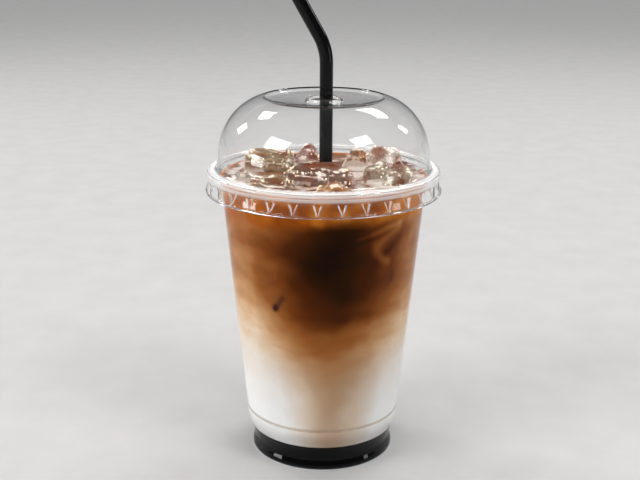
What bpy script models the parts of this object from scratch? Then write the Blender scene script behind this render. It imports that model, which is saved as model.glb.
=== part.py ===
"""Iced latte in a clear takeaway cup, with a domed lid and a bendy straw.

Milk lies at the bottom, coffee over it, and ice blocks float at the top. The origin is the middle
of the foot's underside, +Z is up, and the straw's upper arm leans towards -X.
"""

import math
import random

import bmesh
import bpy
from mathutils import Matrix, Vector

MM = 0.001
SEGMENTS = 56
MERGE = 0.01 * MM
GAP = 0.3 * MM

# Cup: one clear sheet with a hollow foot, a tapered wall and a rolled rim
CUP_WALL = 0.8 * MM
FOOT_RADIUS = 31.3 * MM
FOOT_WALL = 1.4 * MM
FOOT_CORNER = 0.5 * MM
ANKLE_RADIUS = 31.7 * MM
ANKLE_HEIGHT = 11.0 * MM
SHOULDER_RADIUS = 33.7 * MM
SHOULDER_HEIGHT = 20.0 * MM
GROOVE_DEPTH = 0.35 * MM
GROOVE_HALF_WIDTH = 0.5 * MM
SHOULDER_STEPS = (17.0 * MM, 14.0 * MM)
NECK_RADIUS = 43.7 * MM
NECK_HEIGHT = 123.4 * MM
FLOOR_TOP = 11.2 * MM
RIM_TOP = 126.3 * MM
RIM_RADIUS = 47.5 * MM
RIM_CURL = 2.1 * MM
RIM_LIP_BOTTOM = 122.6 * MM
RIM_INNER_ANGLE = 155

# Lid: skirt, bead over the cup's rim, dome, dished top and the straw hole's collar
LID_WALL = 0.6 * MM
SKIRT_EDGE_RADIUS = 50.0 * MM
SKIRT_BOTTOM = 117.3 * MM
WAIST_RADIUS = 49.0 * MM
WAIST_HEIGHT = 121.6 * MM
BEAD_RADIUS = 49.3 * MM
BEAD_TOP = 127.3 * MM
BEAD_CORNER = 1.7 * MM
CREASE_HEIGHT = 123.0 * MM
CREASE_STEP = 0.6 * MM
SKIRT_EDGE_LIP = 0.3 * MM
SKIRT_EDGE_HEIGHT = 1.2 * MM
DOME_FOOT_RADIUS = 45.8 * MM
DOME_RADIUS = 44.6 * MM
DOME_SIDE_BOTTOM = 130.0 * MM
DOME_SHOULDER_HEIGHT = 132.0 * MM
DOME_CROWN_RADIUS = 24.1 * MM
DOME_CROWN_HEIGHT = 25.8 * MM
CROWN_STEPS = 9
DISH_RADIUS = 25.2 * MM
DISH_STEP = 1.2 * MM
DISH_CENTRE_HEIGHT = 155.0 * MM
COLLAR_RADIUS = 7.4 * MM
COLLAR_TOP = 156.3 * MM
COLLAR_BOTTOM = 154.3 * MM
HOLE_RADIUS = 6.7 * MM

# Straw: a hollow tube with eight ribs at its bend
STRAW_X = 0.9 * MM
STRAW_Y = -1.2 * MM
STRAW_RADIUS = 2.8 * MM
STRAW_WALL = 0.4 * MM
STRAW_BOTTOM = 12.6 * MM
BEND_START = 170.3 * MM
BEND_ANGLE = math.radians(29.7)
RIBS = 8
RIB_PITCH = 1.55 * MM
RIB_VALLEY = 0.86
STRAW_ARM = 42.0 * MM
BORE_HEADROOM = 5.0 * MM
BORE_SIDES = 16

# Drink
MILK_TOP = 57.0 * MM
DRINK_LEVEL = 123.5 * MM
DRINK_CORNER = 1.2 * MM

# Ice: x, y, height of the top, width, depth, height (mm), then turn, tip back and tip right (degrees)
ICE = (
    (-24.2, 10.4, 131.0, 23.5, 17.0, 21.0, 6, -5, 4),
    (-6.9, 26.8, 130.4, 17.0, 14.0, 19.0, -6, -6, -3),
    (-2.5, -14.8, 129.6, 32.0, 17.5, 19.0, -10, -9, 1),
    (12.6, 19.6, 130.0, 17.0, 13.0, 17.0, 0, -4, -8),
    (27.7, 20.7, 131.6, 12.0, 10.5, 18.0, -40, 4, -6),
    (26.0, -12.4, 130.2, 20.5, 18.5, 20.0, -12, -6, 5),
    (35.2, 5.0, 128.2, 10.0, 12.5, 15.0, 9, -5, 6),
    (-20.8, -25.0, 128.5, 19.0, 13.0, 17.0, -38, -5, 6),
    (-34.0, -8.4, 126.5, 9.5, 12.5, 13.0, 12, 4, -4),
    (3.3, -33.8, 127.9, 20.0, 11.0, 16.0, 5, -6, -3),
)
# Chips broken off each block: bearing from its back, rise (degrees) and depth (mm)
ICE_CHIPS = (
    ((-70, 45, 4.0), (125, 50, 4.0), (40, 30, 3.0)),
    ((80, 35, 6.5), (-80, 38, 5.5), (180, 50, 3.0)),
    ((48, 12, 7.0), (-50, 12, 5.5), (-140, 10, 6.0), (160, 55, 3.0), (-75, 50, 4.0)),
    ((-78, 28, 7.5), (150, 50, 3.0), (60, 35, 3.0)),
    ((-60, 40, 3.0), (100, 45, 3.0)),
    ((-70, 30, 5.0), (60, 30, 4.5), (180, 45, 4.0), (10, 50, 3.0)),
    ((-60, 40, 2.5), (90, 40, 3.0)),
    ((-70, 35, 4.0), (60, 40, 3.5), (180, 50, 2.5)),
    ((-80, 40, 2.0), (80, 40, 2.5)),
    ((-78, 32, 6.0), (78, 32, 5.0), (180, 50, 2.5)),
)
ICE_BASE_SCALE = 0.82
ICE_ROUNDING = 1.0 * MM
ICE_SHARP_ANGLE = math.radians(55)
ICE_WOBBLE = 1.0 * MM
ICE_CLEARANCE = 0.4 * MM
ICE_SEED = 7


def clear_scene():
    """Remove every object, so that the script can run from any open file."""
    for item in list(bpy.data.objects):
        bpy.data.objects.remove(item, do_unlink=True)


def new_collection(name):
    collection = bpy.data.collections.new(name)
    bpy.context.scene.collection.children.link(collection)
    return collection


def material(name, colour, roughness, alpha=1.0, transmission=0.0):
    """Principled BSDF in one colour, the way each sub-part is finished."""
    result = bpy.data.materials.new(name)
    result.use_nodes = True
    shader = result.node_tree.nodes["Principled BSDF"]
    shader.inputs["Base Color"].default_value = (*colour, 1.0)
    shader.inputs["Roughness"].default_value = roughness
    shader.inputs["Metallic"].default_value = 0.0
    shader.inputs["Alpha"].default_value = alpha
    shader.inputs["Transmission Weight"].default_value = transmission
    result.diffuse_color = (*colour, alpha)
    return result


def add_object(name, mesh, collection, finish=None):
    result = bpy.data.objects.new(name, mesh)
    collection.objects.link(result)
    if finish is not None:
        mesh.materials.append(finish)
    return result


def arc(centre, radii, start, stop, steps):
    """Points on a part of an ellipse in the (radius, height) plane, angles in degrees."""
    points = []
    for index in range(steps + 1):
        angle = math.radians(start + (stop - start) * index / steps)
        points.append((centre[0] + radii[0] * math.cos(angle), centre[1] + radii[1] * math.sin(angle)))
    return points


def turned(name, profile, collection, finish):
    """Turn a profile of (radius, height) points about the Z axis."""
    mesh = bpy.data.meshes.new(name)
    points = [(radius, 0.0, height) for radius, height in profile]
    mesh.from_pydata(points, [(i, i + 1) for i in range(len(points) - 1)], [])
    result = add_object(name, mesh, collection, finish)
    screw = result.modifiers.new("Turn", "SCREW")
    screw.axis = "Z"
    screw.angle = math.tau
    screw.steps = SEGMENTS
    screw.render_steps = SEGMENTS
    screw.use_merge_vertices = True
    screw.merge_threshold = MERGE
    screw.use_smooth_shade = True
    return result


def wall_radius(height):
    """Outer radius of the cup's straight tapered wall."""
    slope = (NECK_RADIUS - SHOULDER_RADIUS) / (NECK_HEIGHT - SHOULDER_HEIGHT)
    return SHOULDER_RADIUS + slope * (height - SHOULDER_HEIGHT)


def shoulder_radius(height):
    """Outer radius between the foot's ankle and the groove, on a rounded curve."""
    share = (height - ANKLE_HEIGHT) / (SHOULDER_HEIGHT - ANKLE_HEIGHT)
    return ANKLE_RADIUS + (SHOULDER_RADIUS - ANKLE_RADIUS) * share * (2.0 - share)


def cup_profile():
    """Closed section of the cup: up its inside, over the rim, down its outside, under the floor."""
    inside = [(0.0, FLOOR_TOP), (ANKLE_RADIUS - CUP_WALL - DRINK_CORNER, FLOOR_TOP)]
    inside.append((shoulder_radius(FLOOR_TOP + DRINK_CORNER) - CUP_WALL, FLOOR_TOP + DRINK_CORNER))
    inside += [(shoulder_radius(z) - CUP_WALL, z) for z in reversed(SHOULDER_STEPS)]
    inside.append((SHOULDER_RADIUS - CUP_WALL, SHOULDER_HEIGHT))
    inside.append((NECK_RADIUS - CUP_WALL, NECK_HEIGHT))

    curl = (RIM_RADIUS - RIM_CURL, RIM_TOP - RIM_CURL)
    inner_curl = (RIM_CURL - CUP_WALL, RIM_CURL - CUP_WALL)
    over_rim = arc(curl, (RIM_CURL, RIM_CURL), RIM_INNER_ANGLE, 0, 7)
    lip = [(RIM_RADIUS, RIM_LIP_BOTTOM), (RIM_RADIUS - CUP_WALL, RIM_LIP_BOTTOM)]
    under_rim = arc(curl, inner_curl, 0, RIM_INNER_ANGLE, 4)

    groove_top = SHOULDER_HEIGHT + GROOVE_HALF_WIDTH
    groove_bottom = SHOULDER_HEIGHT - GROOVE_HALF_WIDTH
    outside = [(NECK_RADIUS, NECK_HEIGHT), (wall_radius(groove_top), groove_top)]
    outside.append((SHOULDER_RADIUS - GROOVE_DEPTH, SHOULDER_HEIGHT))
    outside += [(shoulder_radius(z), z) for z in (groove_bottom, *SHOULDER_STEPS)]
    outside.append((ANKLE_RADIUS, ANKLE_HEIGHT))

    corner = (FOOT_RADIUS - FOOT_CORNER, FOOT_CORNER)
    foot = arc(corner, (FOOT_CORNER, FOOT_CORNER), 0, -90, 3)
    skirt_inside = FOOT_RADIUS - FOOT_WALL
    foot += [(skirt_inside, 0.0), (skirt_inside, FLOOR_TOP - CUP_WALL), (0.0, FLOOR_TOP - CUP_WALL)]
    return inside + over_rim + lip + under_rim + outside + foot


def lid_outside():
    """Outer side of the lid's sheet, from the collar of the straw hole down to the skirt's edge."""
    points = [(COLLAR_RADIUS, COLLAR_TOP), (COLLAR_RADIUS + LID_WALL, DISH_CENTRE_HEIGHT)]
    crown_centre = (DOME_RADIUS - DOME_CROWN_RADIUS, DOME_SHOULDER_HEIGHT)
    edge_share = (DISH_RADIUS - crown_centre[0]) / DOME_CROWN_RADIUS
    edge_angle = math.degrees(math.acos(edge_share))
    edge_height = DOME_SHOULDER_HEIGHT + DOME_CROWN_HEIGHT * math.sin(math.radians(edge_angle))
    points.append((DISH_RADIUS - DISH_STEP, edge_height - DISH_STEP))
    points += arc(crown_centre, (DOME_CROWN_RADIUS, DOME_CROWN_HEIGHT), edge_angle, 0, CROWN_STEPS)
    points.append((DOME_RADIUS, DOME_SIDE_BOTTOM))
    points.append((DOME_FOOT_RADIUS, BEAD_TOP + GAP))
    bead = (BEAD_RADIUS - BEAD_CORNER, BEAD_TOP - BEAD_CORNER)
    points += arc(bead, (BEAD_CORNER, BEAD_CORNER), 90, 0, 3)
    points.append((BEAD_RADIUS, CREASE_HEIGHT + CREASE_STEP))
    points.append((WAIST_RADIUS, CREASE_HEIGHT))
    points.append((WAIST_RADIUS, WAIST_HEIGHT))
    edge_top = SKIRT_BOTTOM + SKIRT_EDGE_HEIGHT
    points.append((SKIRT_EDGE_RADIUS - SKIRT_EDGE_LIP, edge_top))
    points.append((SKIRT_EDGE_RADIUS, edge_top - SKIRT_EDGE_LIP))
    points.append((SKIRT_EDGE_RADIUS, SKIRT_BOTTOM))
    return points


def offset_inwards(points, distance):
    """The same line moved to its right, seen along its run: the other face of a sheet."""
    result = []
    for index, point in enumerate(points):
        before = Vector(points[max(index - 1, 0)])
        after = Vector(points[min(index + 1, len(points) - 1)])
        run = (after - before).normalized()
        normal = Vector((run.y, -run.x))
        result.append(tuple(Vector(point) + normal * distance))
    return result


def lid_profile():
    """Closed section of the lid: down the outside from the hole's collar, and back up inside."""
    outside = lid_outside()
    sheet = outside[1:]
    inside = offset_inwards(sheet, LID_WALL)
    inside[-1] = (SKIRT_EDGE_RADIUS - LID_WALL, SKIRT_BOTTOM)
    hole = [(HOLE_RADIUS, COLLAR_BOTTOM), (HOLE_RADIUS, COLLAR_TOP), (COLLAR_RADIUS, COLLAR_TOP)]
    return [outside[0]] + sheet + list(reversed(inside)) + hole


def straw_path():
    """Middle line of the straw as (point, radius factor): straight, ribbed bend, straight arm."""
    start = Vector((STRAW_X, STRAW_Y, STRAW_BOTTOM))
    bend = Vector((STRAW_X, STRAW_Y, BEND_START))
    path = [(start, 1.0), (bend - Vector((0.0, 0.0, RIB_PITCH)), 1.0), (bend, 1.0)]
    length = RIBS * RIB_PITCH
    turn_radius = length / BEND_ANGLE
    for index in range(1, 2 * RIBS + 1):
        angle = BEND_ANGLE * index / (2 * RIBS)
        offset = Vector((-turn_radius * (1.0 - math.cos(angle)), 0.0, turn_radius * math.sin(angle)))
        factor = RIB_VALLEY if index % 2 else 1.0
        path.append((bend + offset, factor))
    direction = Vector((-math.sin(BEND_ANGLE), 0.0, math.cos(BEND_ANGLE)))
    corner = path[-1][0]
    path.append((corner + direction * RIB_PITCH, 1.0))
    path.append((corner + direction * STRAW_ARM, 1.0))
    return path


def make_straw(collection, finish):
    """Sweep the tube's outer skin along its path, then give it its wall."""
    path = straw_path()
    curve = bpy.data.curves.new("straw_path", "CURVE")
    curve.dimensions = "3D"
    curve.bevel_depth = STRAW_RADIUS
    curve.bevel_resolution = 5
    curve.use_fill_caps = False
    spline = curve.splines.new("POLY")
    spline.points.add(len(path) - 1)
    for point, (place, factor) in zip(spline.points, path):
        point.co = (*place, 1.0)
        point.radius = factor
    guide = add_object("straw_path", curve, collection)
    bpy.context.view_layer.update()
    evaluated = guide.evaluated_get(bpy.context.evaluated_depsgraph_get())
    mesh = bpy.data.meshes.new_from_object(evaluated)
    bpy.data.objects.remove(guide, do_unlink=True)
    mesh.name = "straw"
    mesh.materials.clear()
    mesh.shade_smooth()
    straw = add_object("straw", mesh, collection, finish)
    wall = straw.modifiers.new("Wall", "SOLIDIFY")
    wall.thickness = STRAW_WALL
    wall.offset = -1.0
    return straw


def straw_cutter(collection):
    """Straight bore for the straw, from just under its lower end to above the drink."""
    bottom = STRAW_BOTTOM - GAP
    top = DRINK_LEVEL + BORE_HEADROOM
    mesh = bpy.data.meshes.new("straw_bore")
    shape = bmesh.new()
    bmesh.ops.create_cone(
        shape,
        cap_ends=True,
        segments=BORE_SIDES,
        radius1=STRAW_RADIUS + GAP,
        radius2=STRAW_RADIUS + GAP,
        depth=top - bottom,
        matrix=Matrix.Translation((STRAW_X, STRAW_Y, (top + bottom) / 2)),
    )
    shape.to_mesh(mesh)
    shape.free()
    return as_cutter(add_object("straw_bore", mesh, collection))


def as_cutter(cutter):
    cutter.hide_render = True
    cutter.display_type = "WIRE"
    return cutter


def chip_off(shape, bearing, rise, depth):
    """Break off what lies within a depth of the block's furthest point in one direction."""
    turn, lift = math.radians(bearing), math.radians(rise)
    way = Vector((math.sin(turn) * math.cos(lift), math.cos(turn) * math.cos(lift), math.sin(lift)))
    reach = max(corner.co.dot(way) for corner in shape.verts) - depth * MM
    parts = shape.verts[:] + shape.edges[:] + shape.faces[:]
    cut_off = bmesh.ops.bisect_plane(shape, geom=parts, plane_co=way * reach, plane_no=way, clear_outer=True)
    rim = [part for part in cut_off["geom_cut"] if isinstance(part, bmesh.types.BMEdge)]
    bmesh.ops.contextual_create(shape, geom=rim)


def ice_block(name, place, chips, collection, seed, clearance=0.0, finish=None):
    """A block with uneven corners and chips, narrower below, its edges melted, swollen for a cutter."""
    x, y, top, width, depth, height, turn, tip_back, tip_right = place
    half = Vector((width, depth, height)) * (MM / 2)
    draw = random.Random(seed)
    mesh = bpy.data.meshes.new(name)
    shape = bmesh.new()
    bmesh.ops.create_cube(shape, size=2.0)
    for corner in shape.verts:
        side = corner.co.copy()
        base = ICE_BASE_SCALE if side.z < 0 else 1.0
        corner.co = Vector((side.x * half.x * base, side.y * half.y * base, side.z * half.z))
        corner.co += Vector([draw.uniform(-ICE_WOBBLE, ICE_WOBBLE) for _ in range(3)])
    bmesh.ops.triangulate(shape, faces=shape.faces[:])
    for chip in chips:
        chip_off(shape, *chip)
    shape.to_mesh(mesh)
    shape.free()
    block = add_object(name, mesh, collection, finish)
    block.location = (x * MM, y * MM, top * MM - half.z)
    block.rotation_euler = (math.radians(-tip_back), math.radians(tip_right), math.radians(turn))
    rounding = block.modifiers.new("Melted edges", "BEVEL")
    rounding.width = ICE_ROUNDING
    rounding.segments = 1
    rounding.limit_method = "ANGLE"
    rounding.angle_limit = ICE_SHARP_ANGLE
    block.modifiers.new("Fixed triangles", "TRIANGULATE")
    if clearance:
        swell = block.modifiers.new("Clearance", "DISPLACE")
        swell.strength = clearance
        swell.mid_level = 0.0
    mesh.shade_smooth()
    return block


def drink_radius(height):
    """Outer radius of the drink, a clearance inside the cup's wall."""
    if height < SHOULDER_HEIGHT:
        return shoulder_radius(height) - CUP_WALL - GAP
    return wall_radius(height) - CUP_WALL - GAP


def milk_profile():
    bottom = FLOOR_TOP + GAP
    corner = bottom + DRINK_CORNER
    points = [(0.0, MILK_TOP - GAP / 2), (drink_radius(MILK_TOP), MILK_TOP - GAP / 2)]
    points += [(drink_radius(z), z) for z in (SHOULDER_HEIGHT, *SHOULDER_STEPS, corner)]
    points.append((drink_radius(corner) - DRINK_CORNER, bottom))
    points.append((0.0, bottom))
    return points


def coffee_profile():
    bottom = MILK_TOP + GAP / 2
    points = [(0.0, DRINK_LEVEL), (drink_radius(DRINK_LEVEL), DRINK_LEVEL)]
    points += [(drink_radius(bottom), bottom), (0.0, bottom)]
    return points


def cut(target, cutters):
    """Cut an object with every object of a collection."""
    boolean = target.modifiers.new("Cut " + cutters.name, "BOOLEAN")
    boolean.operation = "DIFFERENCE"
    boolean.operand_type = "COLLECTION"
    boolean.collection = cutters
    boolean.solver = "EXACT"


def build():
    clear_scene()
    latte = new_collection("iced_latte")
    bores = new_collection("straw_cutters")
    hollows = new_collection("ice_cutters")

    clear = material("clear_plastic", (0.93, 0.95, 0.96), 0.05, alpha=0.35, transmission=1.0)
    black = material("black_plastic", (0.01, 0.01, 0.012), 0.18)
    milk = material("milk", (0.78, 0.70, 0.62), 0.35)
    coffee = material("coffee", (0.22, 0.09, 0.03), 0.25)
    ice = material("ice", (0.80, 0.62, 0.48), 0.10, alpha=0.7)

    turned("cup", cup_profile(), latte, clear)
    turned("lid", lid_profile(), latte, clear)
    make_straw(latte, black)
    for number, (place, chips) in enumerate(zip(ICE, ICE_CHIPS), start=1):
        seed = ICE_SEED + number
        ice_block(f"ice_{number:02d}", place, chips, latte, seed, finish=ice)
        as_cutter(ice_block(f"ice_hollow_{number:02d}", place, chips, hollows, seed, clearance=ICE_CLEARANCE))

    straw_cutter(bores)
    milk_layer = turned("milk_layer", milk_profile(), latte, milk)
    coffee_layer = turned("coffee_layer", coffee_profile(), latte, coffee)
    cut(milk_layer, bores)
    cut(coffee_layer, bores)
    cut(coffee_layer, hollows)


build()
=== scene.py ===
# %% [markdown]
# # An iced latte, from plain solids to something you would drink
# The solids of the drink are already made: a clear cup, a domed lid, a bendy straw, a milk layer, a
# coffee layer and ten blocks of ice. This lesson keeps every one of them where it is and gives it the
# surface that the eye expects. We start by loading the solids and by noting the box they fill,
# because nothing made here may grow past it.

# %% Load the solids
import math
import random

import bmesh
import bpy
import numpy as np
from mathutils import Matrix, Vector, noise
from mathutils.bvhtree import BVHTree


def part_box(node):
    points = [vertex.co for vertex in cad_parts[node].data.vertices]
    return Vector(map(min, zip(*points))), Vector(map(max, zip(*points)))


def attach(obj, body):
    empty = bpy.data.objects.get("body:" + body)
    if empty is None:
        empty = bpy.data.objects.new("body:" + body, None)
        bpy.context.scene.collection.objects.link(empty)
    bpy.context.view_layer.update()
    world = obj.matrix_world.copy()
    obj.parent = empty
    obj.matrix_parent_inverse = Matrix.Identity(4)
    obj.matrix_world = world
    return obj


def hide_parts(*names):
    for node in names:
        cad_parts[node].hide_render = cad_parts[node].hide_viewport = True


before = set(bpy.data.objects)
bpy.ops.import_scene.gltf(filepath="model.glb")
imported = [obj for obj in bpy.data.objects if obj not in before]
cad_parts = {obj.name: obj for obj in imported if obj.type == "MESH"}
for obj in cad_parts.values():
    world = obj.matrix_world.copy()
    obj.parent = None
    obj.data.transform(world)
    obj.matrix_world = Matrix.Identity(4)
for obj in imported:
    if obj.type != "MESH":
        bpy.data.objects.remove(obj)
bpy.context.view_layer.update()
MM = 0.001

# %% [markdown]
# ## Camera
# A portrait of a cup is taken from a little above its lid, close enough for the perspective to show
# in the rim's ellipses. The numbers below are that place: just under half a metre away, looking
# about 17 degrees down, with a short telephoto lens.

# %% Camera
CAMERA_DISTANCE = 434.4 * MM
CAMERA_HEIGHT = 223.8 * MM
CAMERA_PITCH = math.radians(16.57)
CAMERA_ROLL = math.radians(0.35)
CAMERA_LENS = 58.93
CAMERA_SHIFT = -0.005


def make_camera():
    data = bpy.data.cameras.new("camera")
    data.lens = CAMERA_LENS
    data.shift_x = CAMERA_SHIFT
    camera = bpy.data.objects.new("camera", data)
    bpy.context.scene.collection.objects.link(camera)
    place = Matrix.Translation((0.0, -CAMERA_DISTANCE, CAMERA_HEIGHT))
    tilt = Matrix.Rotation(math.pi / 2 - CAMERA_PITCH, 4, "X")
    camera.matrix_world = place @ tilt @ Matrix.Rotation(CAMERA_ROLL, 4, "Z")
    bpy.context.scene.camera = camera
    print("camera at", [round(axis / MM) for axis in camera.matrix_world.translation], "mm")


make_camera()

# %% [markdown]
# ## Small helpers
# Every piece below becomes a plain mesh whose object sits at the origin, with its place in its
# vertices. One helper adds a mesh, one freezes modifiers into a mesh, and one turns a profile about
# the cup's axis. The others draw the arcs and lines that profiles are made of.

# %% Mesh helpers
def add_mesh(name, mesh, *finishes):
    """Add an object at the origin for a mesh whose place is in its vertices."""
    item = bpy.data.objects.new(name, mesh)
    bpy.context.scene.collection.objects.link(item)
    for finish in finishes:
        mesh.materials.append(finish)
    return item


def frozen(item):
    """Turn an object's modifiers into a plain mesh and return the object."""
    bpy.context.view_layer.update()
    evaluated = item.evaluated_get(bpy.context.evaluated_depsgraph_get())
    mesh = bpy.data.meshes.new_from_object(evaluated)
    name = item.name
    bpy.data.objects.remove(item, do_unlink=True)
    mesh.name = name
    return add_mesh(name, mesh)


def turned(name, profile, steps):
    """Turn (radius, height) points about the axis; the profile runs down its outer side."""
    mesh = bpy.data.meshes.new(name)
    points = [(radius, 0.0, height) for radius, height in profile]
    mesh.from_pydata(points, [(i, i + 1) for i in range(len(points) - 1)], [])
    item = add_mesh(name, mesh)
    screw = item.modifiers.new("Turn", "SCREW")
    screw.angle = math.tau
    screw.steps = steps
    screw.render_steps = steps
    screw.use_merge_vertices = True
    screw.merge_threshold = 0.001 * MM
    screw.use_smooth_shade = True
    return frozen(item)


def arc(centre, radii, start, stop, steps):
    """Points on a part of an ellipse in the (radius, height) plane, angles in degrees."""
    turns = [math.radians(start + (stop - start) * i / steps) for i in range(steps + 1)]
    return [(centre[0] + radii[0] * math.cos(a), centre[1] + radii[1] * math.sin(a)) for a in turns]


def line(start, stop, steps):
    """Points between two ends, the last one included and the first one left out."""
    share = [(i + 1) / steps for i in range(steps)]
    return [(start[0] + (stop[0] - start[0]) * s, start[1] + (stop[1] - start[1]) * s) for s in share]


def inner_side(points, distance):
    """The other face of a sheet: each point moved square to the line, with mitred corners."""
    path = [Vector(point) for point in points]
    result = []
    for index, point in enumerate(path):
        into = (point - path[index - 1]).normalized() if index else None
        out = (path[index + 1] - point).normalized() if index + 1 < len(path) else None
        into = into or out
        out = out or into
        run = (into + out).normalized()
        mitre = max(run.dot(out), 0.6)
        result.append(tuple(point + Vector((run.y, -run.x)) * distance / mitre))
    return result


# %% [markdown]
# Materials are node trees. A few short helpers keep them readable: `fill` sets or links a node's
# inputs, `maths` writes arithmetic as a call, `remap` is a soft step between two values, and `shade`
# names a colour by what a screen shows.

# %% Node helpers
def fill(tree, item, inputs):
    """Set or link each named or numbered input of a node."""
    for key, value in inputs.items():
        if isinstance(value, bpy.types.NodeSocket):
            tree.links.new(value, item.inputs[key])
        else:
            item.inputs[key].default_value = value


def add_node(tree, kind, inputs=None, **settings):
    """Add a node, set its properties, then fill its inputs."""
    item = tree.nodes.new(kind)
    for key, value in settings.items():
        setattr(item, key, value)
    fill(tree, item, inputs or {})
    return item


def maths(tree, operation, *values, clamp=False):
    """One Math node, or a row of them for a sum, product or maximum of more than two values."""
    if operation in ("ADD", "MULTIPLY", "MAXIMUM") and len(values) > 2:
        values = (maths(tree, operation, *values[:-1]), values[-1])
    inputs = dict(enumerate(values))
    return add_node(tree, "ShaderNodeMath", inputs, operation=operation, use_clamp=clamp).outputs[0]


def plus(tree, *values, clamp=False):
    return maths(tree, "ADD", *values, clamp=clamp)


def minus(tree, first, second, clamp=False):
    return maths(tree, "SUBTRACT", first, second, clamp=clamp)


def times(tree, *values, clamp=False):
    return maths(tree, "MULTIPLY", *values, clamp=clamp)


def vectors(tree, operation, *values):
    item = add_node(tree, "ShaderNodeVectorMath", dict(enumerate(values)), operation=operation)
    scalar = operation in ("DOT_PRODUCT", "LENGTH", "DISTANCE")
    return item.outputs["Value" if scalar else "Vector"]


def scaled(tree, vector, factor):
    item = add_node(tree, "ShaderNodeVectorMath", {0: vector, "Scale": factor}, operation="SCALE")
    return item.outputs["Vector"]


def split(tree, place):
    """X, Y and Z of a position."""
    return add_node(tree, "ShaderNodeSeparateXYZ", {0: place}).outputs


def flat(tree, place):
    """A position seen from above, with its height dropped."""
    return vectors(tree, "MULTIPLY", place, (1.0, 1.0, 0.0))


def clouds(tree, place, size, detail):
    """Noise whose blobs have a size: "Fac" is one number, "Color" is three."""
    inputs = {"Vector": place, "Scale": 1 / size, "Detail": detail}
    return add_node(tree, "ShaderNodeTexNoise", inputs).outputs


def stored(tree, name):
    """What a mesh keeps under a name: "Fac" is one number, "Color" is three."""
    return add_node(tree, "ShaderNodeAttribute", attribute_name=name).outputs


def remap(tree, value, low, high, to_low=0.0, to_high=1.0):
    """Smooth step from one range to another."""
    inputs = {"Value": value, "From Min": low, "From Max": high, "To Min": to_low, "To Max": to_high}
    item = add_node(tree, "ShaderNodeMapRange", inputs, interpolation_type="SMOOTHSTEP")
    return item.outputs["Result"]


def shade(red, green, blue):
    """A colour named by its screen value, 0 to 255, as the linear light that shaders use."""
    parts = [channel / 255 for channel in (red, green, blue)]
    return tuple(p / 12.92 if p <= 0.04045 else ((p + 0.055) / 1.055) ** 2.4 for p in parts)


def ramp(tree, value, stops):
    """Colour ramp from (position, colour) stops."""
    item = add_node(tree, "ShaderNodeValToRGB", {"Fac": value})
    band = item.color_ramp
    while len(band.elements) < len(stops):
        band.elements.new(1.0)
    for element, (position, colour) in zip(band.elements, stops):
        element.position = position
        element.color = (*colour, 1.0)
    return item.outputs["Color"]


def blend_colour(tree, factor, first, second):
    """Mix a colour socket with a second one, or with a plain colour."""
    second = (*second, 1.0) if isinstance(second, tuple) else second
    inputs = {"Factor": factor, 6: first, 7: second}
    return add_node(tree, "ShaderNodeMix", inputs, data_type="RGBA").outputs[2]


def bump_from(tree, height, depth):
    return add_node(tree, "ShaderNodeBump", {"Height": height, "Distance": depth}).outputs["Normal"]


def new_material(name):
    """An empty material: its tree, its shader and its object coordinates."""
    material = bpy.data.materials.new(name)
    material.use_nodes = True
    tree = material.node_tree
    place = tree.nodes.new("ShaderNodeTexCoord").outputs["Object"]
    return material, tree, tree.nodes["Principled BSDF"], place


# %% [markdown]
# ## Clear moulded plastic
# The cup and the lid are drawn from one clear sheet. Such plastic is never optically flat: it has
# slow waves from the mould and a little haze. It has to let the lamps through to the drink as well,
# and a glass shader blocks shadow rays, so for those rays alone it is swapped for a transparent one.

# %% Clear plastic
WAVE_SIZE = 18.0 * MM
WAVE_DEPTH = 0.05 * MM
HAZE_SIZE = WAVE_SIZE / 3
HAZE = (0.02, 0.06)
CLEAR = (0.985, 0.99, 0.99)
PLASTIC_SHADOW = (0.96, 0.965, 0.965)


def let_lamps_through(tree, shader, tint):
    """Swap a glassy shader for a tinted transparent one where a ray only asks for lamp light."""
    path = tree.nodes.new("ShaderNodeLightPath")
    passing = add_node(tree, "ShaderNodeBsdfTransparent", {"Color": (*tint, 1.0)})
    mixed = add_node(tree, "ShaderNodeMixShader", {
        0: path.outputs["Is Shadow Ray"], 1: shader.outputs["BSDF"], 2: passing.outputs["BSDF"]})
    output = next(node for node in tree.nodes if node.type == "OUTPUT_MATERIAL")
    fill(tree, output, {"Surface": mixed.outputs["Shader"]})


def clear_plastic(name, ior, paint):
    """Clear sheet; paint() returns sockets for the base colour, the roughness and the clearness."""
    material, tree, shader, place = new_material(name)
    wave = clouds(tree, place, WAVE_SIZE, 1.0)["Fac"]
    haze = remap(tree, clouds(tree, place, HAZE_SIZE, 3.0)["Fac"], 0.4, 0.75, *HAZE)
    colour, roughness, clearness = paint(tree, place, haze)
    fill(tree, shader, {
        "Base Color": colour, "Roughness": roughness, "Transmission Weight": clearness, "IOR": ior,
        "Normal": bump_from(tree, wave, WAVE_DEPTH)})
    let_lamps_through(tree, shader, PLASTIC_SHADOW)
    return material
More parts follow.
